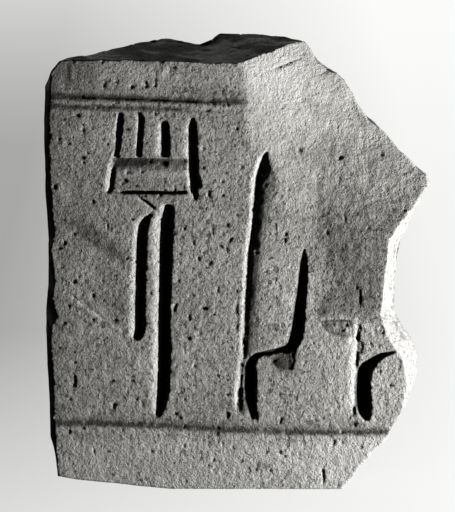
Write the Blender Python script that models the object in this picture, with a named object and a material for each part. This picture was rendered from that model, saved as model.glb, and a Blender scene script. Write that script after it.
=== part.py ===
"""Fragment of a wall relief in pale sandstone, cut off flat behind where it met the wall.

Metres, +Z up. The carved face looks along -Y, the sawn back along +Y, and the stone stands on its underside.
One stone, so one solid: a broken slab, a flaked corner and one row of sunk strokes between two ruled lines.
Outlines and strokes are drawn on a plan of the carved face, whose grid is a share of the stone's own size.
"""
import math

import bmesh
import bpy

# Overall sizes of the stone
WIDTH = 0.196
HEIGHT = 0.2252
THICKNESS = 0.056

# Depths below the dressed face
STROKE_DEPTH = 0.0036
SHELF_DEPTH = 0.0010
LINE_DEPTH = 0.0013
BAR_DEPTH = 0.0040
FAINT_DEPTH = 0.0009

# Roughness of the broken sides, and of the flaked corner
BREAK_RELIEF = 0.0016
FLAKE_RELIEF = 0.0002
FLAKE_WAVE = 0.1

# The plan's grid: the stone is this many units wide and high
PLAN_WIDTH = 196
PLAN_HEIGHT = 223

# The flaked corner: how far it reaches down from the plan's top, and how much of that is its steeper head
FLAKE_HEIGHT = 137.5
FLAKE_HEAD = 45.0

# Its floor in plan units and rise over run: how deep it starts at the foot, how it deepens upward,
# how it tips to the right above a level place and to the left below it, and how steep its edges are
FLAKE_DEPTH = 3.6
FLAKE_DEEPENING = 0.02
FLAKE_TWIST = 0.0052
FLAKE_LEVEL = 57.0
FLAKE_LEFT_TIP = 0.07
FLAKE_EDGE_SLOPE = 0.32
FLAKE_HEAD_SLOPE = 0.45
FLAKE_FOOT_SLOPE = 0.22

# How ragged the flake's left edge and its foot are: height of the waves, waves per unit and start
EDGE_WAVES = [(0.5, 0.31, 0.0), (0.5, 0.13, 1.0)]
FOOT_WAVE = (1.2, 0.3, 0.0)

# Mesh density and working clearances
FLAKE_GRID = 4.0
FLAKE_MARGIN = 8.0
EDGE_PIECE = 6.0
SLICES = 5
CURVE_STEPS = 3
CUTTER_LIFT = 0.003
STONE_COLOUR = (0.50, 0.49, 0.465, 1.0)
STONE_ROUGHNESS = 0.92

# Outline of the slab on the plan, anticlockwise from the lower left corner.
# Each row is one corner of the outline: x and z on the carved face, then x and z on the back.
UNDERSIDE = [
    (-90, 6.5, -91, 5), (-80, 4.8, -80, 4), (-50, 1.6, -50, 1.5), (-34, 0, -34, 0), (53, 0, 50, 0),
]
RIGHT_BREAK = [
    (57.5, 5.5, 57, 3), (66.5, 16.5, 68, 11), (74, 24, 77, 18), (79, 32.5, 83, 27), (83.5, 40, 88, 36),
    (86, 52, 92.5, 50), (84, 64, 92, 60), (80, 70.5, 89.5, 68), (75.5, 79, 84.5, 75), (72.5, 88, 80.5, 83),
    (74, 107.5, 81.5, 102), (76.5, 125, 84, 119), (80.5, 132, 88.5, 127), (85.5, 137, 92.5, 136),
    (96, 152.5, 98, 148),
]
UPPER_BREAK = [
    (94.5, 157.5, 96, 152), (87.5, 163.2, 88, 158.5), (82, 170, 82, 165), (76.5, 176, 77, 171),
    (66.5, 185, 67, 180), (62, 190, 62, 185), (59, 198, 59, 192), (54, 205, 54, 200), (46.5, 210, 46, 205),
    (40, 215, 40, 210), (34.5, 225, 33.5, 219.5),
]
TOP_BREAK = [
    (26.5, 222, 24, 220.5), (16.5, 218.5, 12.5, 222.5), (9, 215.5, 1.5, 223), (0, 213.5, -9.5, 222.7),
    (-8, 213.7, -13.5, 219.5), (-18, 214.2, -19, 217.5), (-36, 214.6, -36, 220.5), (-50, 214.9, -50, 218.5),
    (-63, 215.2, -62, 215), (-84, 215.5, -84, 210), (-88.5, 214.8, -89, 207.5),
]
LEFT_SIDE = [
    (-92.8, 209, -94, 203), (-93.5, 196, -97.5, 196), (-94.3, 170, -98, 170), (-92.3, 140, -97.2, 138),
    (-91.4, 127.5, -96.5, 127), (-93.2, 121, -96, 118), (-91.4, 105, -96, 106), (-92.6, 98, -96.3, 95),
    (-91.4, 90.5, -96.8, 90), (-90, 87, -97, 87), (-93.2, 82, -97.5, 80), (-93.6, 73, -97.5, 74),
    (-92, 55, -97, 54), (-92.2, 40, -96, 40), (-91, 18, -95.5, 18),
]

# The flaked corner's left edge on the plan, from its foot up: z and x
FLAKE_LEFT = [(85, 37), (106, 37), (126, 29), (158, 19.5), (170, 7), (196, 3), (223, 0.5)]

# How uneven each side of the outline is, as a share of the full roughness of a break
SIDES = [(UNDERSIDE, 0.0), (RIGHT_BREAK, 1.0), (UPPER_BREAK, 1.0), (TOP_BREAK, 1.0), (LEFT_SIDE, 0.35)]

# What remains of that roughness at the front and back rims, and how far its waves shift through the thickness
RIM_SHARE = 0.25
BREAK_SHIFT = 3.0

# The waves that make a break uneven: share of the height, waves per step and how the phase counts
BREAK_WAVES = [(0.5, 2.4, 1.0), (0.3, 5.1, -2.0), (0.2, 11.3, 0.0)]

# Cross-sections of a cut, from its left edge to its right edge going down, or from its lower edge going right.
# Each pair is a share of the width and a share of the depth.
CHISELLED = [(0, 0), (0.38, 0.42), (0.5, 1), (0.9, 1), (1, 0)]
BEVELLED = [(0, 0), (0.66, 0.7), (0.76, 1), (0.93, 1), (1, 0)]
HOLLOWED = [(0, 0), (0.24, 1), (0.46, 0.5), (0.72, 0.18), (1, 0)]
LIPPED = [(0, 0), (0.38, 0.1), (0.42, 1), (0.93, 1), (1, 0)]
TRENCHED = [(0, 0), (0.05, 1), (0.93, 1), (1, 0)]
SPLAYED = [(0, 0), (0.93, 1), (1, 0)]
SHELVED = [(0, 0), (0.06, 0.8), (0.9, 1), (1, 0)]
RULED = [(0, 0), (0.14, 1), (0.3, 0.95), (1, 0)]
FACETED = [(0, 0.5), (0.1, 0.4), (0.6, 0.34), (1, 1)]

# The cuts by cross-section. Each station is x, z and width on the plan, then a share of the full depth.
STROKES = {
    "stroke_short_2": [(-49.4, 189, 1.8, 0.4), (-48.4, 185.4, 3.9, 0.6), (-48.8, 180, 4, 0.6),
                       (-49.8, 166.6, 3.9, 0.6)],
    "stroke_short_3": [(-37.4, 184.4, 3.2, 0.5), (-37, 181.5, 6, 0.8), (-37, 166.6, 6.4, 0.8)],
    "stroke_short_4": [(-22, 186.8, 1.6, 0.4), (-23.3, 181, 6, 0.8), (-23.2, 171, 6.6, 0.9),
                       (-22.9, 160, 6.8, 1.1), (-22.5, 152, 5.8, 1), (-20.6, 145.2, 2, 0.5)],
    "stroke_long_1": [(-42.4, 138.4, 1.4, 0.4), (-45.2, 136.4, 4, 0.8), (-48.2, 131.5, 7, 1),
                      (-49, 121, 7.4, 1), (-49.4, 108, 7.4, 1), (-49.9, 90, 7.8, 1), (-50.4, 79.6, 8, 0.9),
                      (-51.8, 75.4, 3.6, 0.5)],
    "stroke_long_2": [(-34.9, 143.2, 6.2, 0.8), (-36.2, 137.4, 9.4, 1), (-37.3, 131, 11.2, 1),
                      (-37.6, 118, 10.4, 1), (-38.2, 90, 9.6, 1), (-38.6, 62, 9.6, 1), (-39.3, 46, 9, 0.9),
                      (-40.4, 36.5, 3, 0.4)],
}
EDGES = {
    "stroke_short_1": [(-58.3, 189.2, 1.4, 0.4), (-58.8, 185.6, 4, 0.8), (-60, 175, 4, 0.55),
                       (-60.9, 168, 3.7, 0.5), (-62.5, 162.5, 4.2, 0.85), (-63.5, 156.5, 4.4, 0.95),
                       (-64.2, 152, 4.8, 0.9), (-64.9, 148.8, 3, 0.5)],
    "stroke_slant": [(-50.6, 147.4, 1.4, 0.3), (-46, 143.9, 2.6, 0.55), (-41.5, 140.6, 2.2, 0.5),
                     (-38.8, 138.6, 1.2, 0.3)],
}
SWEEPS = {
    "stroke_sweep": [(20.6, 172.4, 1.6, 0.7), (16.4, 168, 7.6, 1.05), (15, 161.5, 12, 1), (13.1, 155, 12, 0.88),
                     (11.5, 143, 10.6, 0.74), (10.2, 130, 10, 0.7), (8.6, 117.5, 11, 0.7),
                     (7.9, 105, 10.4, 0.65), (6.9, 92.5, 10, 0.56), (6.4, 80, 10, 0.52),
                     (5.7, 67.5, 9.6, 0.52), (4.4, 55, 9.6, 0.6), (3.7, 43, 10.6, 0.6), (2.4, 37, 6, 0.25)],
}
BENDS = {
    "stroke_bend": [(33.6, 126.4, 1.6, 0.3), (32.4, 113, 6, 0.8), (31, 99, 7.4, 1), (29.4, 86.5, 9, 1),
                    (27.8, 77, 10, 1.05), (25.6, 72.4, 7.6, 1.05), (21, 70.7, 5.2, 1), (15, 69.4, 4.4, 0.95),
                    (9.2, 67.8, 5, 0.95), (5.8, 63.6, 7.6, 1), (5, 57.5, 9.4, 1), (5, 49, 9, 1),
                    (6, 42.6, 7.4, 0.9), (7.2, 37.8, 4.6, 0.7), (8, 34.8, 1.6, 0.3)],
}
TRENCHES = {
    "stroke_branch": [(80.5, 69.8, 1.2, 0.35), (75.5, 68.2, 2, 0.7), (71.5, 66.6, 3, 0.9), (68, 64, 4.4, 1),
                      (64.4, 60, 7, 1), (63.6, 54, 6.8, 1), (63.7, 44, 7.2, 1), (64.4, 38.8, 6.4, 0.95),
                      (65.8, 34.6, 2.4, 0.4)],
}
SPLAYS = {
    "stroke_edge": [(61.9, 90.5, 0.8, 0.16), (61.3, 86, 2.4, 0.36), (60, 81.5, 4.6, 0.56),
                    (59.1, 76, 5.4, 0.58), (58.8, 68, 5.4, 0.58), (58.7, 60, 5, 0.56), (58.4, 50, 4.8, 0.54),
                    (58.2, 42, 4.4, 0.4), (58, 37.6, 3.6, 0.24), (58, 35.4, 1.6, 0.14)],
}
SHELVES = {
    "stroke_shelf": [(61.2, 79.5, 42, 1), (66, 79.5, 29, 1), (70, 79.5, 25.6, 1), (76, 79.5, 22.6, 0.9),
                     (94, 79.5, 21, 0.6)],
}
RULED_LINES = {
    "line_top": [(-104, 198.6, 4.4, 1), (-43.5, 196.7, 4.6, 1), (-14, 195.3, 4.2, 1), (6.5, 193.9, 1.4, 0.3)],
    "line_base": [(-104, 34.6, 4.4, 1), (-62, 34.2, 4.4, 1), (-24, 32.4, 4.8, 1), (8, 30.8, 4.8, 1),
                  (40, 29.8, 4.4, 0.9), (90, 29.8, 3.8, 0.9)],
}
FAINT_LINES = {
    "line_faint": [(-104, 192.9, 3.2, 1), (-56, 191.5, 3.2, 0.9), (2, 189.6, 1.8, 0.3)],
    "line_under_bar": [(-63, 149.8, 2, 2.4), (-44, 149.5, 2.8, 4.2), (-24.5, 149.3, 2.2, 2.8)],
}
BARS = {
    "bar": [(-62.5, 158.2, 16, 1), (-44, 158.2, 16, 0.75), (-25, 158, 15.8, 0.45)],
}
CUTS = [
    (STROKES, CHISELLED, STROKE_DEPTH), (EDGES, BEVELLED, STROKE_DEPTH), (SWEEPS, HOLLOWED, STROKE_DEPTH),
    (BENDS, LIPPED, STROKE_DEPTH), (TRENCHES, TRENCHED, STROKE_DEPTH), (SPLAYS, SPLAYED, STROKE_DEPTH),
    (SHELVES, SHELVED, SHELF_DEPTH), (RULED_LINES, RULED, LINE_DEPTH), (FAINT_LINES, RULED, FAINT_DEPTH),
    (BARS, FACETED, BAR_DEPTH),
]


def clear_scene():
    for item in list(bpy.data.objects):
        bpy.data.objects.remove(item, do_unlink=True)


def new_collection(name):
    made = bpy.data.collections.new(name)
    bpy.context.scene.collection.children.link(made)
    return made


def stone_material():
    made = bpy.data.materials.new("stone")
    made.use_nodes = True
    shader = made.node_tree.nodes["Principled BSDF"]
    shader.inputs["Base Color"].default_value = STONE_COLOUR
    shader.inputs["Roughness"].default_value = STONE_ROUGHNESS
    shader.inputs["Metallic"].default_value = 0.0
    made.diffuse_color = STONE_COLOUR
    return made


def face_y():
    """The dressed face's place in depth."""
    return -THICKNESS / 2


def place(x, z, y):
    """A point of the plan at a given depth, in metres."""
    return (x * WIDTH / PLAN_WIDTH, y, z * HEIGHT / PLAN_HEIGHT)


def waves(step, phase, table):
    """A repeatable uneven value."""
    return sum(height * math.sin(count * step + start * phase) for height, count, start in table)


def between_limits(value, low, high):
    return min(max(value, low), high)


def divide(row, following):
    """Splits one side of the outline into short pieces, so that the break can be uneven along it."""
    count = max(1, round(math.dist(row[:2], following[:2]) / EDGE_PIECE))
    steps = [piece / count for piece in range(count)]
    return [tuple(a + (b - a) * step for a, b in zip(row, following)) for step in steps]


def outline():
    """All corners of the outline, each with the share of unevenness that its side takes."""
    rows = [(row, rough) for side, rough in SIDES for row in side]
    corners = []
    for index, (row, rough) in enumerate(rows):
        following, next_rough = rows[(index + 1) % len(rows)]
        for piece in divide(row, following):
            corners.append((piece, min(rough, next_rough)))
    return corners


def ring(corners, share):
    """The outline at one share of the thickness, with its unevenness inside the stone greatest."""
    centre = PLAN_HEIGHT / 2
    points = []
    for index, (corner, rough) in enumerate(corners):
        x = corner[0] + (corner[2] - corner[0]) * share
        z = corner[1] + (corner[3] - corner[1]) * share
        spread = rough * (RIM_SHARE + math.sin(math.pi * share)) * BREAK_RELIEF
        push = spread * waves(index, BREAK_SHIFT * share, BREAK_WAVES) / math.hypot(x, z - centre)
        flat = place(x, z, face_y() + THICKNESS * share)
        points.append((flat[0] + x * push, flat[1], max(0.0, flat[2] + (z - centre) * push)))
    return points


def finished(name, mesh, collection):
    """Turns a closed mesh into an object, with its faces pointing out."""
    bmesh.ops.recalc_face_normals(mesh, faces=mesh.faces)
    data = bpy.data.meshes.new(name)
    mesh.to_mesh(data)
    mesh.free()
    made = bpy.data.objects.new(name, data)
    collection.objects.link(made)
    return made


def loft(name, rings, collection):
    """Skins closed rings of equal count and caps both ends."""
    mesh = bmesh.new()
    rows = [[mesh.verts.new(point) for point in points] for points in rings]
    count = len(rows[0])
    for row, following in zip(rows, rows[1:]):
        for index in range(count):
            after = (index + 1) % count
            mesh.faces.new((row[index], row[after], following[after], following[index]))
    mesh.faces.new(rows[0][::-1])
    mesh.faces.new(rows[-1])
    return finished(name, mesh, collection)


def slab(collection):
    corners = outline()
    shares = [slice_index / (SLICES - 1) for slice_index in range(SLICES)]
    return loft("relief_fragment", [ring(corners, share) for share in shares], collection)


def between(before, start, end, after, step):
    """One value of a smooth curve that passes through start and end."""
    linear = (end - before) * step
    square = (2 * before - 5 * start + 4 * end - after) * step ** 2
    cube = (3 * start - before - 3 * end + after) * step ** 3
    return 0.5 * (2 * start + linear + square + cube)


def smooth_stations(stations):
    """Extra stations on a smooth curve through the given ones."""
    ends = [stations[0], *stations, stations[-1]]
    made = []
    for index in range(1, len(ends) - 2):
        four = ends[index - 1:index + 3]
        for step in range(CURVE_STEPS):
            made.append(tuple(between(*values, step / CURVE_STEPS) for values in zip(*four)))
    made.append(stations[-1])
    return made


def section(station, along, profile, full_depth):
    """One closed ring of a cutter, square to its run: the cut's floor, then back above the face."""
    x, z, width, share = station
    length = math.hypot(*along)
    across = (-along[1] / length, along[0] / length)
    above = face_y() - CUTTER_LIFT
    floor = [(portion - 0.5, face_y() + full_depth * share * deep) for portion, deep in profile]
    rim = [(floor[-1][0], above), (floor[0][0], above)]
    across = (across[0] * width, across[1] * width)
    return [place(x + across[0] * offset, z + across[1] * offset, y) for offset, y in floor + rim]


def groove(name, stations, profile, full_depth, collection):
    """A cutter that runs through its stations."""
    curve = smooth_stations(stations)
    rings = []
    for index, station in enumerate(curve):
        before = curve[max(0, index - 1)]
        after = curve[min(len(curve) - 1, index + 1)]
        along = (after[0] - before[0], after[1] - before[1])
        rings.append(section(station, along, profile, full_depth))
    return loft(name, rings, collection)


def read_off(rows, spot):
    """The value at a spot, in straight steps between rows of spot and value."""
    spot = between_limits(spot, rows[0][0], rows[-1][0])
    for (low, value), (high, following) in zip(rows, rows[1:]):
        if spot <= high:
            return value + (following - value) * (spot - low) / (high - low)


def flake_foot():
    return PLAN_HEIGHT - FLAKE_HEIGHT


def flake_depth(x, z):
    """How far the flaked corner lies below the face. Below zero there is no flake."""
    inward = x - read_off(FLAKE_LEFT, z) - waves(z, 1, EDGE_WAVES)
    above_foot = z - flake_foot()
    head = between_limits((z - PLAN_HEIGHT) / FLAKE_HEAD + 1, 0, 1)
    edge = (FLAKE_EDGE_SLOPE + (FLAKE_HEAD_SLOPE - FLAKE_EDGE_SLOPE) * head) * inward
    tip = max(FLAKE_TWIST * (above_foot - FLAKE_LEVEL), -FLAKE_LEFT_TIP)
    floor = FLAKE_DEPTH + FLAKE_DEEPENING * above_foot + tip * inward
    foot = FLAKE_FOOT_SLOPE * (above_foot - waves(x, 1, [FOOT_WAVE]))
    uneven = waves(FLAKE_WAVE * (x + z), FLAKE_WAVE * (x - z), BREAK_WAVES) * FLAKE_RELIEF
    return min(edge, floor, foot) * WIDTH / PLAN_WIDTH + uneven


def grid_lines(start, end):
    """Evenly spaced places from start to just past end."""
    return [start + FLAKE_GRID * index for index in range(math.ceil((end - start) / FLAKE_GRID) + 1)]


def grid_rim(grid):
    """The outer points of a grid, in order around it."""
    right = [row[-1] for row in grid[1:]]
    left = [row[0] for row in grid[-2:0:-1]]
    return grid[0] + right + grid[-1][-2::-1] + left


def flake_cutter(collection):
    """The corner that flaked off, as a block with the flake's face for its floor."""
    columns = grid_lines(min(x for z, x in FLAKE_LEFT) - FLAKE_MARGIN, PLAN_WIDTH / 2 + FLAKE_MARGIN)
    rows = grid_lines(flake_foot() - FLAKE_MARGIN / 2, PLAN_HEIGHT + FLAKE_MARGIN)
    above = face_y() - CUTTER_LIFT
    mesh = bmesh.new()
    floor = []
    lid = []
    for z in rows:
        floor.append([mesh.verts.new(place(x, z, max(above, face_y() + flake_depth(x, z)))) for x in columns])
        lid.append([mesh.verts.new(place(x, z, above - THICKNESS)) for x in columns])
    for grid in (floor, lid):
        for low, high in zip(grid, grid[1:]):
            for index in range(len(columns) - 1):
                mesh.faces.new((low[index], low[index + 1], high[index + 1], high[index]))
    inner, outer = grid_rim(floor), grid_rim(lid)
    for index in range(len(inner)):
        after = (index + 1) % len(inner)
        mesh.faces.new((inner[index], inner[after], outer[after], outer[index]))
    return finished("flaked_corner", mesh, collection)


def carving_cutters(collection):
    made = []
    for cuts, profile, full_depth in CUTS:
        for name, stations in cuts.items():
            made.append(groove(name, stations, profile, full_depth, collection))
    return made


def cut(stone, cutter):
    cutter.hide_render = True
    cutter.display_type = "WIRE"
    modifier = stone.modifiers.new(cutter.name, "BOOLEAN")
    modifier.operation = "DIFFERENCE"
    modifier.solver = "EXACT"
    modifier.object = cutter


def centre_on_origin(stone, cutters):
    """Moves the stone and its cutters together, so that the origin lies below the middle of the stone's box."""
    sides = [corner.co.x for corner in stone.data.vertices]
    middle = bpy.data.objects.new("middle", None)
    middle.location.x = -(min(sides) + max(sides)) / 2
    bpy.context.scene.collection.objects.link(middle)
    for item in [stone, *cutters]:
        item.parent = middle


def main():
    clear_scene()
    parts = new_collection("relief_fragment")
    tools = new_collection("cutters")
    stone = slab(parts)
    stone.data.materials.append(stone_material())
    cutters = [flake_cutter(tools), *carving_cutters(tools)]
    for cutter in cutters:
        cut(stone, cutter)
    centre_on_origin(stone, cutters)


main()
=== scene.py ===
"""The relief fragment as it looks: a weathered, broken slab of pale sandstone in raking light.

Metres, +Z up. The carved face looks along -Y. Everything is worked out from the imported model's own box.
"""

import math

import bpy
import numpy as np
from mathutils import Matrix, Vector


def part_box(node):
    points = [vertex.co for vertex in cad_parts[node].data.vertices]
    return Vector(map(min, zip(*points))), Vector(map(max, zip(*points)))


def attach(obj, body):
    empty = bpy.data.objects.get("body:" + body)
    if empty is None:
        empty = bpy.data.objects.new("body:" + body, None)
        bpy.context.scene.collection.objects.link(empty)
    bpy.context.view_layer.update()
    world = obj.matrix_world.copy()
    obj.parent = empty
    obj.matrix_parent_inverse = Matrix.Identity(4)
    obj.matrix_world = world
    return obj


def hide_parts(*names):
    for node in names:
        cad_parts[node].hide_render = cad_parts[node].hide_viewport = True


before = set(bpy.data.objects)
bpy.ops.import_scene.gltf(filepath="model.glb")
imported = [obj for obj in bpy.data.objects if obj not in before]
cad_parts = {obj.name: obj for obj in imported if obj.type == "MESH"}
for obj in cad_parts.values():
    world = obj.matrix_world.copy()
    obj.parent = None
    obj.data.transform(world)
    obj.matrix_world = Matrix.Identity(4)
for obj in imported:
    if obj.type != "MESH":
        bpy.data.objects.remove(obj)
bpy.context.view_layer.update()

NODE = "relief_fragment"
LOW, HIGH = (Vector(corner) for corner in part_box(NODE))
SIZE = HIGH - LOW
FACE_Y = LOW.y
BACK_Y = HIGH.y

# The plan of the carved face: its grid is this many units wide and high, as the stone was drawn
PLAN_WIDTH = 196
PLAN_HEIGHT = 223
UNIT = SIZE.x / PLAN_WIDTH

# The photograph's frame, and the view
PHOTO_HEIGHT = 512
PIXEL = UNIT / 2
VIEW_ELEVATION = 8.0
VIEW_DISTANCE = 3.0
FRAME_MIDDLE = (-4.75, 117.25)
SENSOR = 24.0

# The stone's mesh
VOXEL = 0.00062
TRIANGLES = 194_000
MILLIMETRE = 0.001

# How far the swelling and grain of the face may stand out of the drawn plane
FACE_ROOM = 0.0007

# The flaked corner's left edge on the plan, from its foot up: z and x
FLAKE_EDGE = [(85, 37), (106, 37), (126, 29), (158, 19.5), (170, 7), (196, 3), (223, 0.5)]

# Lumps of the weathered surface: size in metres, layers, seed, and height in millimetres
SWELL = (0.030, 2, 11, 0.28)
GRAIN = (0.0032, 2, 23, 0.15)
FLAKE_GRAIN = (0.0036, 3, 41, 0.36)
FLAKE_SWELL = (0.020, 2, 47, 0.16)
CRAGS = (0.011, 4, 61, 1.7)
LEDGES = (0.019, 2, 67, 1.6)
BACK_SWELL = (0.02, 2, 73, 0.12)
CRUMBS = (0.0026, 3, 99, 0.9)
CRUMB_DIRT = (0.0022, 2, 101, 0.8)

# Pits: size in metres, seed, the noise at which one begins and is at its deepest, and depth in millimetres
PITS = (0.0024, 31, 0.55, 0.80, 0.45)
LARGE_PITS = (0.0048, 37, 0.70, 0.9, 0.5)
FLAKE_PITS = (0.0030, 53, 0.60, 0.9, 0.40)

# What a break, the sawn back and a crumbled spot have lost, in millimetres
BREAK_LOSS = 1.0
BACK_LOSS = 0.1
CRUMBLED_LOSS = 0.25
CRUMBLED_EDGE_LOSS = 0.6

# How much smoother the left side is than the breaks, and how much of its chipped arris is worn flat
SIDE_WEAR = 0.8
ARRIS_WEAR = 0.8

# Saw marks on the back: waves in radians per metre, height in millimetres, and how much they wander
SAW_PITCH = 900
SAW_HEIGHT = 0.06
SAW_WANDER = 3

# Turns and stretches the grain of the breaks, and the streaks of painted shade on the top break
ASLANT = np.array([[1, 0, 0.7], [0, 1, 0], [-0.4, 0, 0.6]])
STREAKED = np.array([[1, 0, 0], [0.8, 1, 0], [0, 0, 1]])

# Single marks on the plan: x, z, length, width, turn in degrees, depth in millimetres, and how much dirt and
# painted shade darken them; below zero, a painted highlight pales them
MARKS = {
    # Painted shade along the soft hollow and beside it, and a painted highlight on the soft step
    "soft_hollow_shade": (-70, 125, 46, 9, -36, 0.35, 0.65),
    "soft_shade": (-63, 99, 30, 15, -62, 0.10, 0.28),
    "soft_step_highlight": (-72, 89.5, 38, 2.2, -34.5, 0.25, -0.45),
    "short_scratch": (-62, 93, 8, 1.0, 55, 0.2, 0.1),
    "pit_by_stroke": (-61, 85, 2.2, 2.0, 0, 0.8, 0.5),
    "patch_crack": (28.5, 69, 5, 1.4, 70, 0.8, 0.9),
    "patch_dirt": (23.6, 64.6, 14, 10, 15, 0.3, 1.2),
    "foot_chip": (59, 33, 4, 2.6, 80, 0.9, 0.9),
    "foot_pits": (10.5, 11.4, 9, 4.5, 0, 0.6, 0.6),
    "foot_stain": (27, 26, 12, 8, 20, 0.1, 0.25),
    "gouge": (-3.5, 125, 4.2, 1.3, 55, 0.8, 0.9),
    "gouge_low": (-8, 122, 3.0, 1.3, -40, 0.5, 0.8),
    "nick": (-16.5, 91, 3.4, 1.6, 0, 0.8, 0.9),
    "head_crack": (24, 211.5, 17, 1.0, 20, 0.8, 0.6),
    "side_crack": (47, 208, 12, 1.0, 20, 0.8, 0.6),
    "edge_crack": (61.6, 96.5, 8, 1.1, 88, 0.9, 0.9),
    "flake_pit_1": (51.5, 165, 2.6, 1.8, 40, 0.8, 0.8),
    "flake_pit_2": (31.5, 169, 2.2, 3.4, 0, 0.8, 0.8),
    "top_nick": (-66, 203, 5, 1.5, 75, 0.4, 0.6),
    "top_streak": (-52, 201.5, 4, 2.4, 30, 0.3, 0.6),
    "corner_streak": (-84.5, 206, 15, 2.4, 86, 0.2, 0.45),
    # Painted highlights where the leaf and the head of a stroke turn towards the lamp
    "leaf_rise_highlight": (25, 105, 40, 6, 93, 0.0, -0.30),
    "head_rise_highlight": (-41, 176, 20, 7, 90, 0.0, -0.30),
}

# Crumbled spots with a broken edge around them: the corners on the plan
CRUMBLED = [
    [(42, 84.2), (47.5, 85), (56.5, 84.7), (57.8, 80), (57.6, 77.2), (55, 76.5), (49, 77.8), (44, 80.3)],
    [(69, 81.7), (72, 82.2), (74, 80.5), (73, 78.3), (70, 78), (68.6, 79.7)],
    [(18, 64), (20.5, 66), (24, 68.4), (27.5, 69), (28.5, 65), (27.3, 60.4), (24, 60.8), (20, 61.6)],
]

# Where the cuts lie on the plan: lowest and highest x, then z. Their steep walls are dressed stone too
CUT_AREAS = [(-68, -18, 33, 192), (-4, 36, 33, 174), (54, 71.5, 33, 90)]
CUT_LIMIT = 6.5

# The wide bar above the long strokes: lowest and highest x, then z
BAR = (-63, -25, 150, 166.5)

# Cuts with a sharp upper edge, whose walls facing the lamp get painted shade: x and z along each
SHADED_WALL_CUTS = [
    [(34, 126), (32, 99), (29, 80), (25, 71.5), (12, 68.6), (6.5, 62), (6.5, 50), (8, 35)],
    [(73, 67.3), (71, 66.5), (65.5, 61), (63.8, 52), (64, 44), (66.5, 35)],
]

# Ruled lines' dirt and painted shade: x and z of the line, its right end, and how strongly the stone above is
# shaded
# The third value also sets the painted highlight along the edge below each line
DIRTY_SHADED_LINES = [
    ([(-98, 196.8), (-43.5, 195.3), (-18.5, 194.3), (6.5, 193.8)], 5.0, 0.7),
    ([(-98, 192.0), (-56, 191.2), (-20, 190.2)], -22.0, 0.15),
    ([(-98, 32.9), (-63, 32.7), (-43.5, 31.8), (-23.5, 30.6), (-3.5, 29.5), (31.5, 28.3), (90, 28.3)],
     88.0, 0.8),
]

# Colours of the stone
SAND_DARK = (0.38, 0.372, 0.349, 1)
SAND_PALE = (0.66, 0.65, 0.618, 1)
SAND_STAIN = (0.30, 0.294, 0.273, 1)
SAND_GRAIN = (0.82, 0.81, 0.785, 1)
FRESH_BREAK = (0.58, 0.572, 0.548, 1)
PORE = (0.10, 0.097, 0.088, 1)
# The next two colours darken the stone for dirt and painted shade, and pale it for painted highlights
DIRT_AND_PAINTED_SHADE = (0.055, 0.053, 0.048, 1)
PALER_AND_PAINTED_HIGHLIGHT = (0.86, 0.85, 0.83, 1)

# The grain that the bump gives: noise scale, detail, roughness, and height as a share of the bump's distance
BUMP_GRAINS = [(1300, 3, 0.6, 0.6), (420, 5, 0.65, 1.45), (150, 4, 0.6, 1.2)]
BUMP_DISTANCE = 0.0017

# The floor: its size, how far back its middle lies, and how far below the stone it is
FLOOR_SIZE = 14.0
FLOOR_BACK = 3.0
FLOOR_GAP = 0.0002
# Floor colours: painted shade to the left and far back, painted light to the right and near the stone
FLOOR_SHADED_LEFT = (0.35, 0.355, 0.34, 1)
FLOOR_LIT_RIGHT = (0.86, 0.865, 0.85, 1)
FLOOR_LIT_NEAR = (0.93, 0.935, 0.92, 1)
FLOOR_SHADED_FAR = (0.8, 0.805, 0.79, 1)

# The raking light, placed from the middle of the carved face, in metres and watts
KEY_OFFSET = Vector((0.45, -0.13, -0.078))
KEY_SIZE = 0.05
KEY_POWER = 5.4

# The other lamps of the stone and those of the floor: position, target, size and power
STONE_LAMPS = {
    "rear": ((0.1, 1.5, 0.16), (0, 0, 0.1), 0.5, 4.0),
    "top": ((-0.1, 0.8, 0.75), (0, 0, 0.2), 0.3, 1.8),
}
FLOOR_LAMPS = {
    "overhead": ((0.5, -1.4, 3.0), (0.2, 0.2, 0), 2.5, 103),
    "beyond": ((0.3, 3.2, 3.0), (0.1, 2.2, 0), 2.5, 108),
}
STUDIO_LIGHT = 0.004


def plan_point(x, z):
    """A point of the carved face's plan in metres."""
    return Vector((x * UNIT, FACE_Y, z * SIZE.z / PLAN_HEIGHT))


def hashed(cells, seed):
    """A repeatable value from 0 to 1 for each whole-numbered cell."""
    mixed = cells[:, 0] * 374761393 + cells[:, 1] * 668265263 + cells[:, 2] * 1442695041 + seed * 974634777
    mixed = (mixed ^ (mixed >> 13)) * 1274126177
    mixed = mixed ^ (mixed >> 16)
    return (mixed & 0xFFFF) / 65535.0


def noise(points, scale, seed):
    """Smooth noise from -1 to 1 whose lumps are about scale across."""
    spots = points / scale
    cells = np.floor(spots).astype(np.int64)
    inside = spots - cells
    ease = inside * inside * (3 - 2 * inside)
    total = np.zeros(len(points))
    for corner in range(8):
        bits = np.array([corner & 1, corner >> 1 & 1, corner >> 2 & 1])
        weight = np.prod(np.where(bits, ease, 1 - ease), axis=1)
        total += weight * hashed(cells + bits, seed)
    return total * 2 - 1


def layered(points, scale, layers, seed):
    """Noise in layers, each finer and weaker than the last."""
    total = np.zeros(len(points))
    for layer in range(layers):
        total += noise(points, scale / 2 ** layer, seed + layer) / 2 ** layer
    return total / (2 - 2 / 2 ** layers)


def smooth_step(values, start, end):
    """Zero up to start, one from end on, and a smooth rise between them."""
    share = np.clip((values - start) / (end - start), 0, 1)
    return share * share * (3 - 2 * share)


def lumps(points, scale, layers, seed, height):
    return layered(points, scale, layers, seed) * height


def hollows(points, scale, seed, start, end, depth):
    return smooth_step(noise(points, scale, seed), start, end) * depth


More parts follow.
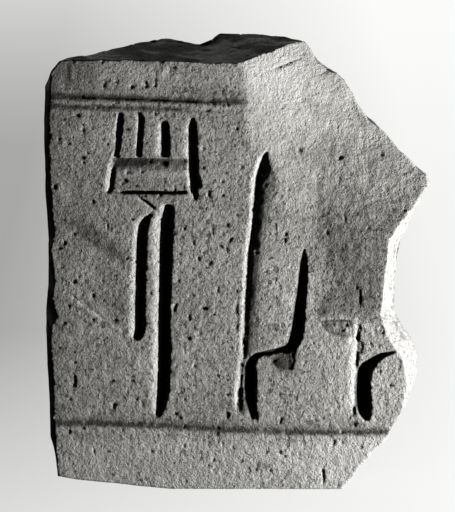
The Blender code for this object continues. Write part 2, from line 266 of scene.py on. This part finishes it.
def evaluated_copy(source, name):
    """A new object with the mesh as its modifiers leave it."""
    view = bpy.context.evaluated_depsgraph_get()
    data = bpy.data.meshes.new_from_object(source.evaluated_get(view))
    made = bpy.data.objects.new(name, data)
    bpy.context.scene.collection.objects.link(made)
    return made


def read_points(mesh):
    points = np.empty(len(mesh.vertices) * 3)
    mesh.vertices.foreach_get("co", points)
    return points.reshape(-1, 3)


def read_normals(mesh):
    normals = np.empty(len(mesh.vertices) * 3)
    mesh.vertex_normals.foreach_get("vector", normals)
    return normals.reshape(-1, 3)


def remeshed(source):
    """The solid's form as an even, closed mesh with its arrises worn round."""
    draft = evaluated_copy(source, "draft")
    remesh = draft.modifiers.new("even", "REMESH")
    remesh.mode = "VOXEL"
    remesh.voxel_size = VOXEL
    wear = draft.modifiers.new("wear", "SMOOTH")
    wear.factor = 0.5
    wear.iterations = 2
    made = evaluated_copy(draft, "stone_form")
    bpy.data.objects.remove(draft)
    return made


def on_plan(points):
    """The points' places on the plan, in its units."""
    return points[:, 0] / UNIT, points[:, 2] * PLAN_HEIGHT / SIZE.z


def regions(points, normals):
    """Shares of the dressed face, the flaked corner, the sawn back and the broken sides, and the depth."""
    x, z = on_plan(points)
    depth = (points[:, 1] - FACE_Y) / MILLIMETRE
    forward = np.clip(-normals[:, 1], 0, 1)
    left = np.interp(z, *zip(*FLAKE_EDGE))
    corner = smooth_step(x - left, -4, 0) * smooth_step(z, 82, 86)
    flake = smooth_step(depth, 0.1, 0.7) * corner * smooth_step(forward, 0.3, 0.7)
    dressed = smooth_step(-depth, -7, -6) * smooth_step(forward, 0.1, 0.5)
    for x_low, x_high, z_low, z_high in CUT_AREAS:
        walls = (x > x_low) & (x < x_high) & (z > z_low) & (z < z_high) & (depth < CUT_LIMIT)
        dressed = np.maximum(dressed, walls)
    dressed *= 1 - flake
    back = smooth_step(points[:, 1], BACK_Y - 2 * MILLIMETRE, BACK_Y - 0.5 * MILLIMETRE)
    back *= smooth_step(normals[:, 1], 0.5, 0.9)
    under = smooth_step(-normals[:, 2], 0.85, 0.97) * (points[:, 2] < 6 * MILLIMETRE)
    broken = np.clip(1 - dressed - flake - back - under, 0, 1)
    return dressed, flake, back, broken, depth


def marked(points, normals, column):
    """The single marks, where the stone looks forward: column 5 of their table is depth, column 6 dirt and
    painted shade, below zero a painted highlight.
    """
    x, z = on_plan(points)
    total = np.zeros(len(points))
    for mark in MARKS.values():
        across, up, length, width, turn = mark[:5]
        cos, sin = math.cos(math.radians(turn)), math.sin(math.radians(turn))
        along = ((x - across) * cos + (z - up) * sin) * 2 / length
        aside = ((z - up) * cos - (x - across) * sin) * 2 / width
        total += mark[column] * np.exp(-(along ** 2 + aside ** 2) ** 1.5)
    uneven = 1 + 0.6 * noise(points, 0.0020, 83)
    return total * uneven * smooth_step(-normals[:, 1], 0.15, 0.45)


def gap_to(x, z, start, end):
    """How far each place on the plan lies from the straight between two corners."""
    run = (end[0] - start[0], end[1] - start[1])
    share = np.clip(((x - start[0]) * run[0] + (z - start[1]) * run[1]) / (run[0] ** 2 + run[1] ** 2), 0, 1)
    return np.hypot(x - start[0] - share * run[0], z - start[1] - share * run[1])


def crumbled(points):
    """How deep in a crumbled spot each point lies, and how near its broken edge. Both run from 0 to 1."""
    x, z = on_plan(points)
    inside = np.zeros(len(points))
    edge = np.zeros(len(points))
    for corners in CRUMBLED:
        nearest = np.full(len(points), 1e9)
        crossings = np.zeros(len(points), dtype=int)
        for start, end in zip(corners, corners[1:] + corners[:1]):
            nearest = np.minimum(nearest, gap_to(x, z, start, end))
            slant = (end[0] - start[0]) / (end[1] - start[1] + 1e-9)
            crossings += ((start[1] > z) != (end[1] > z)) & (x < start[0] + slant * (z - start[1]))
        inside = np.maximum(inside, (crossings % 2 == 1) * smooth_step(nearest, 0, 0.8))
        edge = np.maximum(edge, np.exp(-(nearest / 0.55) ** 2))
    front = points[:, 1] < FACE_Y + 8 * MILLIMETRE
    return inside * front, edge * front * (0.85 + 0.35 * noise(points, 0.0022, 97))


def by_sharp_cut(points):
    """One along the cuts with a sharp upper edge, fading out beside them."""
    x, z = on_plan(points)
    nearest = np.full(len(points), 1e9)
    for corners in SHADED_WALL_CUTS:
        for start, end in zip(corners, corners[1:]):
            nearest = np.minimum(nearest, gap_to(x, z, start, end))
    return smooth_step(-nearest, -5.5, -4.5)


def worn_arris(points):
    """How far the chips along the left arris come forward, so that it is worn smooth as in the photo."""
    depth = points[:, 1] - FACE_Y
    by_edge = smooth_step(-points[:, 0] / UNIT, 82, 87)
    shallow = smooth_step(-depth / MILLIMETRE, -9, -4)
    return ARRIS_WEAR * depth * by_edge * shallow


def weather(mesh):
    """Moves the surface by what time and breakage did to it. Heights here are in millimetres."""
    points = read_points(mesh)
    normals = read_normals(mesh)
    dressed, flake, back, broken, _ = regions(points, normals)
    x, z = on_plan(points)

    face_pits = hollows(points, *PITS) + hollows(points, *LARGE_PITS)
    move = dressed * (lumps(points, *SWELL) + lumps(points, *GRAIN) - face_pits)
    coarser = np.clip((x - 10) / 70 + (200 - z) / 110, 0.25, 1.1)
    flake_grain = lumps(points @ ASLANT, *FLAKE_GRAIN) - hollows(points, *FLAKE_PITS)
    move += flake * (coarser * flake_grain + lumps(points, *FLAKE_SWELL))
    crags = lumps(points, *CRAGS) + np.abs(lumps(points @ ASLANT, *LEDGES)) - BREAK_LOSS
    move += broken * crags * (1 - SIDE_WEAR * smooth_step(-x, 80, 88))
    saw = np.sin(points[:, 0] * SAW_PITCH + SAW_WANDER * noise(points, 0.05, 71)) * SAW_HEIGHT
    move += back * (saw + lumps(points, *BACK_SWELL) - BACK_LOSS)
    move -= marked(points, normals, 5) * (dressed + flake + broken)
    inside, edge = crumbled(points)
    move -= inside * (CRUMBLED_LOSS + lumps(points, *CRUMBS)) + edge * CRUMBLED_EDGE_LOSS
    moved = points + normals * (move * MILLIMETRE)[:, None]
    moved[:, 1] -= worn_arris(points)
    for axis, room in enumerate((0, FACE_ROOM, 0)):
        moved[:, axis] = np.clip(moved[:, axis], LOW[axis] - room, HIGH[axis])
    mesh.vertices.foreach_set("co", moved.ravel())
    mesh.update()


def line_dirt_and_shade(points):
    """Dirt and painted shade in the ruled lines, with a fainter painted shade above each and a painted
    highlight along the edge below.
    """
    x, z = on_plan(points)
    total = np.zeros(len(points))
    for line, end, above_line in DIRTY_SHADED_LINES:
        above = z - np.interp(x, *zip(*line))
        shade = 1.35 * np.exp(-(above / 1.3) ** 2)
        shade += above_line * np.exp(-np.abs(above - 0.4) / 3.2) * (above > 0)
        shade -= 0.25 * above_line * np.exp(-((above + 2.4) / 1.4) ** 2)
        total += shade * smooth_step(end - x, -3, 8)
    return total * (0.8 + 0.6 * noise(points, 0.0014, 91))


def paint(mesh):
    """Stores where dirt, painted shade and painted highlights lie and where the stone is broken, for the
    material to read.
    """
    points = read_points(mesh)
    normals = read_normals(mesh)
    x, z = on_plan(points)
    dressed, flake, back, broken, depth = regions(points, normals)
    lit_wall = smooth_step(normals[:, 0], 0.15, 0.4)
    # Painted shade on the floors of the deep cuts, leaving out the walls that face the lamp
    shaded_cut_floor = smooth_step(depth, 1.4, 2.6) * dressed * (1 - lit_wall)
    corner_stain = smooth_step(-x, 60, 84) * smooth_step(z, 192, 212) * (depth < 4)
    corner_stain *= 0.8 + noise(points, 0.008, 87)
    # Darker towards the left edge
    left_edge_dark = smooth_step(-x, 84, 93) * dressed
    bar = (x > BAR[0]) & (x < BAR[1]) & (z > BAR[2]) & (z < BAR[3]) & (depth > 0.3)
    inside, edge = crumbled(points)
    grime_and_painted_light = shaded_cut_floor + corner_stain * 0.55 + left_edge_dark * 0.3
    grime_and_painted_light += inside * (0.25 + lumps(points, *CRUMB_DIRT)) + edge * 0.9
    # Walls that face the lamp: painted shade along the cuts with a sharp upper edge, a painted highlight on
    # all others
    sharp = by_sharp_cut(points)
    grime_and_painted_light += (1.5 * sharp - 0.5) * lit_wall * dressed * smooth_step(depth, 0.2, 0.8)
    # The bar: painted shade on its upper facet and a painted highlight band across its middle
    grime_and_painted_light += bar * (0.02 + 0.38 * smooth_step(z, 159.5, 163) - 0.28 * np.exp(-((z - 158.2) / 2.2) ** 2))
    # Dirt and painted shade in the ruled lines, and the marks' dirt, painted shade and painted highlights
    grime_and_painted_light += (line_dirt_and_shade(points) * (depth < 3) + marked(points, normals, 6)) * np.clip(dressed + flake, 0, 1)
    # The flaked corner: slightly darker throughout, with painted shade lower down and a painted highlight on
    # its head
    low = smooth_step(168 - z, 0, 44)
    flake_head_highlight = smooth_step(z, 176, 212) * smooth_step(x, 1, 10) * (1 - 0.95 * smooth_step(x, 20, 46))
    grime_and_painted_light += flake * (0.05 + 0.32 * low - 0.50 * flake_head_highlight)
    # Paler towards the bottom, along the top and towards the right
    grime_and_painted_light -= 0.28 * dressed * smooth_step(28 - z, 0, 6)
    grime_and_painted_light -= 0.14 * dressed * smooth_step(z, 198, 203)
    grime_and_painted_light -= 0.08 * dressed * smooth_step(x, 20, 45)
    # Painted shade in streaks on the top break, which faces up, with painted light between the streaks
    top = broken * smooth_step(normals[:, 2], 0.4, 0.8)
    streaks = noise(points @ STREAKED, 0.011, 103)
    grime_and_painted_light += top * (0.95 * smooth_step(streaks, -0.25, 0.2) - 0.15)
    lowest = smooth_step(170 - z, 0, 60) * smooth_step(x, 10, 50)
    rough = 0.68 * dressed + flake * (0.38 + 0.62 * lowest) + 0.7 * broken + 0.4 * back + 0.6 * inside
    for name, values in (("grime_and_painted_light", grime_and_painted_light), ("rough", rough), ("fresh", broken)):
        layer = mesh.attributes.new(name, "FLOAT", "POINT")
        layer.data.foreach_set("value", np.clip(values, -1, 1).astype(np.float32))


def thinned(source, name):
    """The same surface with fewer triangles, most of them kept for the carved face."""
    mesh = source.data
    dressed, flake, _, broken, _ = regions(read_points(mesh), read_normals(mesh))
    plain = source.vertex_groups.new(name="plain")
    carved = dressed + flake >= 0.5
    for part, weight in ((carved, 0.3), (broken >= 0.5, 0.5), (~carved & (broken < 0.5), 1.0)):
        plain.add(np.flatnonzero(part).tolist(), weight, "REPLACE")
    count = sum(len(face.vertices) - 2 for face in mesh.polygons)
    thin = source.modifiers.new("thin", "DECIMATE")
    thin.ratio = min(1.0, TRIANGLES / count)
    thin.vertex_group = plain.name
    thin.vertex_group_factor = 1.0
    made = evaluated_copy(source, name)
    bpy.data.objects.remove(source)
    return made


class Shading:
    """A material under construction, with short calls for the nodes that the stone needs."""

    def __init__(self, name):
        self.material = bpy.data.materials.new(name)
        self.material.use_nodes = True
        self.nodes = self.material.node_tree.nodes
        self.links = self.material.node_tree.links
        self.shader = self.nodes["Principled BSDF"]
        self.place = self.nodes.new("ShaderNodeTexCoord").outputs["Object"]

    def spread(self, value, low, high, start=0.0, end=1.0):
        """Maps low..high to start..end and holds it there."""
        span = self.nodes.new("ShaderNodeMapRange")
        for name, number in (("From Min", low), ("From Max", high), ("To Min", start), ("To Max", end)):
            span.inputs[name].default_value = number
        self.links.new(value, span.inputs["Value"])
        return span.outputs["Result"]

    def noise(self, scale, detail, low=0.35, high=0.65, roughness=0.6, start=0.0, end=1.0):
        grain = self.nodes.new("ShaderNodeTexNoise")
        grain.inputs["Scale"].default_value = scale
        grain.inputs["Detail"].default_value = detail
        grain.inputs["Roughness"].default_value = roughness
        self.links.new(self.place, grain.inputs["Vector"])
        return self.spread(grain.outputs["Fac"], low, high, start, end)

    def warped(self, scale, amount):
        """The object's coordinates, pushed about a little so that round things become irregular."""
        push = self.nodes.new("ShaderNodeTexNoise")
        push.inputs["Scale"].default_value = scale
        push.inputs["Detail"].default_value = 1.0
        self.links.new(self.place, push.inputs["Vector"])
        centred = self.nodes.new("ShaderNodeVectorMath")
        centred.operation = "MULTIPLY_ADD"
        centred.inputs[1].default_value = (amount, amount, amount)
        self.links.new(push.outputs["Color"], centred.inputs[0])
        self.links.new(self.place, centred.inputs[2])
        return centred.outputs["Vector"]

    def pits(self, scale, share, radius, place, patches):
        """Zero in scattered hollows of many sizes and one between them. Patches vary their size."""
        cells = self.nodes.new("ShaderNodeTexVoronoi")
        cells.inputs["Scale"].default_value = scale
        self.links.new(place, cells.inputs["Vector"])
        lot = self.nodes.new("ShaderNodeSeparateColor")
        self.links.new(cells.outputs["Color"], lot.inputs["Color"])
        size = self.spread(lot.outputs["Red"], 1 - share, 1.0, -0.12, radius)
        size = self.math("ADD", size, patches)
        return self.spread(self.math("SUBTRACT", cells.outputs["Distance"], size), -0.06, 0.05)

    def attribute(self, name):
        read = self.nodes.new("ShaderNodeAttribute")
        read.attribute_name = name
        return read.outputs["Fac"]

    def math(self, operation, first, second):
        node = self.nodes.new("ShaderNodeMath")
        node.operation = operation
        for socket, value in zip(node.inputs, (first, second)):
            if isinstance(value, float):
                socket.default_value = value
            else:
                self.links.new(value, socket)
        return node.outputs["Value"]

    def mix(self, factor, first, second):
        node = self.nodes.new("ShaderNodeMix")
        node.data_type = "RGBA"
        self.links.new(factor, node.inputs["Factor"])
        for name, value in (("A", first), ("B", second)):
            socket = next(item for item in node.inputs if item.name == name and item.type == "RGBA")
            if isinstance(value, tuple):
                socket.default_value = value
            else:
                self.links.new(value, socket)
        return next(item for item in node.outputs if item.type == "RGBA")

    def bump(self, height, strength, distance):
        node = self.nodes.new("ShaderNodeBump")
        node.inputs["Distance"].default_value = distance
        self.links.new(strength, node.inputs["Strength"])
        self.links.new(height, node.inputs["Height"])
        return node.outputs["Normal"]


def stone_material():
    """Pale sandstone: mottled ground, sand grains, dark pores, dirt and painted shade in the cuts, painted
    highlights, and paler fresh breaks.
    """
    stone = Shading("sandstone")
    stone.shader.inputs["Roughness"].default_value = 0.93
    stone.shader.inputs["Specular IOR Level"].default_value = 0.2
    rough = stone.attribute("rough")
    place = stone.warped(650, 0.0022)
    patches = stone.noise(48, 4, 0.32, 0.68, start=-0.10, end=0.10)
    pores = stone.pits(520, 0.80, 0.44, place, patches)
    holes = stone.pits(290, 0.55, 0.38, place, patches)
    hollows = stone.pits(150, 0.22, 0.24, place, patches)

    ground = stone.mix(stone.noise(30, 7), SAND_DARK, SAND_PALE)
    ground = stone.mix(stone.noise(120, 6, 0.36, 0.62, end=0.8), ground, SAND_STAIN)
    ground = stone.mix(stone.attribute("fresh"), ground, FRESH_BREAK)
    grains = stone.mix(stone.noise(800, 4, 0.54, 0.72, end=0.6), ground, SAND_GRAIN)
    specks = stone.math("MULTIPLY", stone.noise(480, 6, 0.37, 0.43, start=1.0, end=0.0), rough)
    pinholes = stone.math("MULTIPLY", stone.noise(1000, 2, 0.34, 0.39, start=1.0, end=0.0), rough)
    specks = stone.math("MAXIMUM", specks, pinholes)
    spots = stone.mix(specks, grains, PORE)
    flats = stone.math("MULTIPLY", stone.math("MULTIPLY", pores, holes), hollows)
    weathered = stone.spread(rough, 0.35, 0.66, 0.2, 1)
    depth = stone.math("MULTIPLY", stone.spread(flats, 0, 1, 0.66, 0), weathered)
    pored = stone.mix(depth, spots, PORE)
    # The stored darkening stands for dirt and painted shade; below zero it pales the stone as a painted
    # highlight
    dirty = stone.mix(stone.spread(stone.attribute("grime_and_painted_light"), 0, 1, 0, 0.96), pored, DIRT_AND_PAINTED_SHADE)
    pale = stone.mix(stone.spread(stone.attribute("grime_and_painted_light"), 0, -1, 0, 1), dirty, PALER_AND_PAINTED_HIGHLIGHT)
    stone.links.new(pale, stone.shader.inputs["Base Color"])

    relief = stone.math("ADD", stone.math("MULTIPLY", pores, 0.5), stone.math("MULTIPLY", holes, 0.9))
    relief = stone.math("SUBTRACT", relief, stone.math("MULTIPLY", pinholes, 0.6))
    relief = stone.math("ADD", relief, hollows)
    for scale, detail, roughness, height in BUMP_GRAINS:
        relief = stone.math("ADD", relief, stone.noise(scale, detail, 0.2, 0.8, roughness, end=height))
    strength = stone.spread(rough, 0, 1, 0.25, 1.0)
    stone.links.new(stone.bump(relief, strength, BUMP_DISTANCE), stone.shader.inputs["Normal"])
    return stone.material


def build_stone():
    form = remeshed(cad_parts[NODE])
    weather(form.data)
    stone = thinned(form, "carved_stone")
    paint(stone.data)
    stone.data.materials.clear()
    stone.data.materials.append(stone_material())
    stone.data.shade_smooth()
    # The brightly lit right side would throw a pale patch onto the floor, which the photo doesn't have
    stone.visible_diffuse = False
    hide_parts(NODE)
    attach(stone, "root")
    return stone


def build_floor():
    """A pale floor, with painted shade to the left of the stone and far back, and painted light to the right
    and near the stone.
    """
    bpy.ops.mesh.primitive_plane_add(size=FLOOR_SIZE, location=(0, FLOOR_BACK, -FLOOR_GAP))
    floor = bpy.context.object
    floor.name = "floor"
    pale = Shading("pale_floor")
    pale.shader.inputs["Roughness"].default_value = 0.9
    axes = pale.nodes.new("ShaderNodeSeparateXYZ")
    pale.links.new(pale.place, axes.inputs["Vector"])
    share = pale.spread(axes.outputs["X"], -0.15, 0.13)
    near = pale.spread(axes.outputs["Y"], -2.5, -3.1, 0, 0.5)
    far = pale.spread(axes.outputs["Y"], -1.6, -0.4, 0, 0.5)
    colour = pale.mix(share, FLOOR_SHADED_LEFT, FLOOR_LIT_RIGHT)
    colour = pale.mix(near, colour, FLOOR_LIT_NEAR)
    colour = pale.mix(far, colour, FLOOR_SHADED_FAR)
    pale.links.new(colour, pale.shader.inputs["Base Color"])
    floor.data.materials.append(pale.material)
    floor.visible_diffuse = False
    floor.visible_glossy = False
    return floor


def area_light(name, position, target, size, power):
    data = bpy.data.lights.new(name, "AREA")
    data.shape = "DISK"
    data.size = size
    data.energy = power
    light = bpy.data.objects.new(name, data)
    light.location = position
    light.rotation_euler = (Vector(target) - Vector(position)).to_track_quat("-Z", "Y").to_euler()
    light.visible_camera = False
    bpy.context.scene.collection.objects.link(light)
    return light


def light_only(light, receiver, shadows=True):
    """The light reaches this object alone. Without shadows, nothing else stands in its way."""
    group = bpy.data.collections.new("lit_by_" + light.name)
    group.objects.link(receiver)
    light.light_linking.receiver_collection = group
    if not shadows:
        light.light_linking.blocker_collection = group


def build_light(stone, floor):
    middle = plan_point(0, PLAN_HEIGHT / 2)
    light_only(area_light("key", middle + KEY_OFFSET, middle, KEY_SIZE, KEY_POWER), stone)
    for name, lamp in STONE_LAMPS.items():
        light_only(area_light(name, *lamp), stone)
    for name, lamp in FLOOR_LAMPS.items():
        light_only(area_light(name, *lamp), floor, shadows=False)
    world = bpy.data.worlds.new("studio")
    world.use_nodes = True
    shade = world.node_tree.nodes["Background"]
    shade.inputs["Color"].default_value = (1, 1, 1, 1)
    shade.inputs["Strength"].default_value = STUDIO_LIGHT
    bpy.context.scene.world = world
    bpy.context.scene.view_settings.view_transform = "Standard"


def build_camera():
    target = plan_point(*FRAME_MIDDLE)
    tilt = math.radians(VIEW_ELEVATION)
    data = bpy.data.cameras.new("camera")
    data.sensor_fit = "VERTICAL"
    data.sensor_height = SENSOR
    data.lens = SENSOR * VIEW_DISTANCE / (PHOTO_HEIGHT * PIXEL)
    data.clip_end = 60
    camera = bpy.data.objects.new("camera", data)
    camera.location = target + VIEW_DISTANCE * Vector((0, -math.cos(tilt), math.sin(tilt)))
    camera.rotation_euler = (math.pi / 2 - tilt, 0, 0)
    bpy.context.scene.collection.objects.link(camera)
    bpy.context.scene.camera = camera


build_light(build_stone(), build_floor())
build_camera()
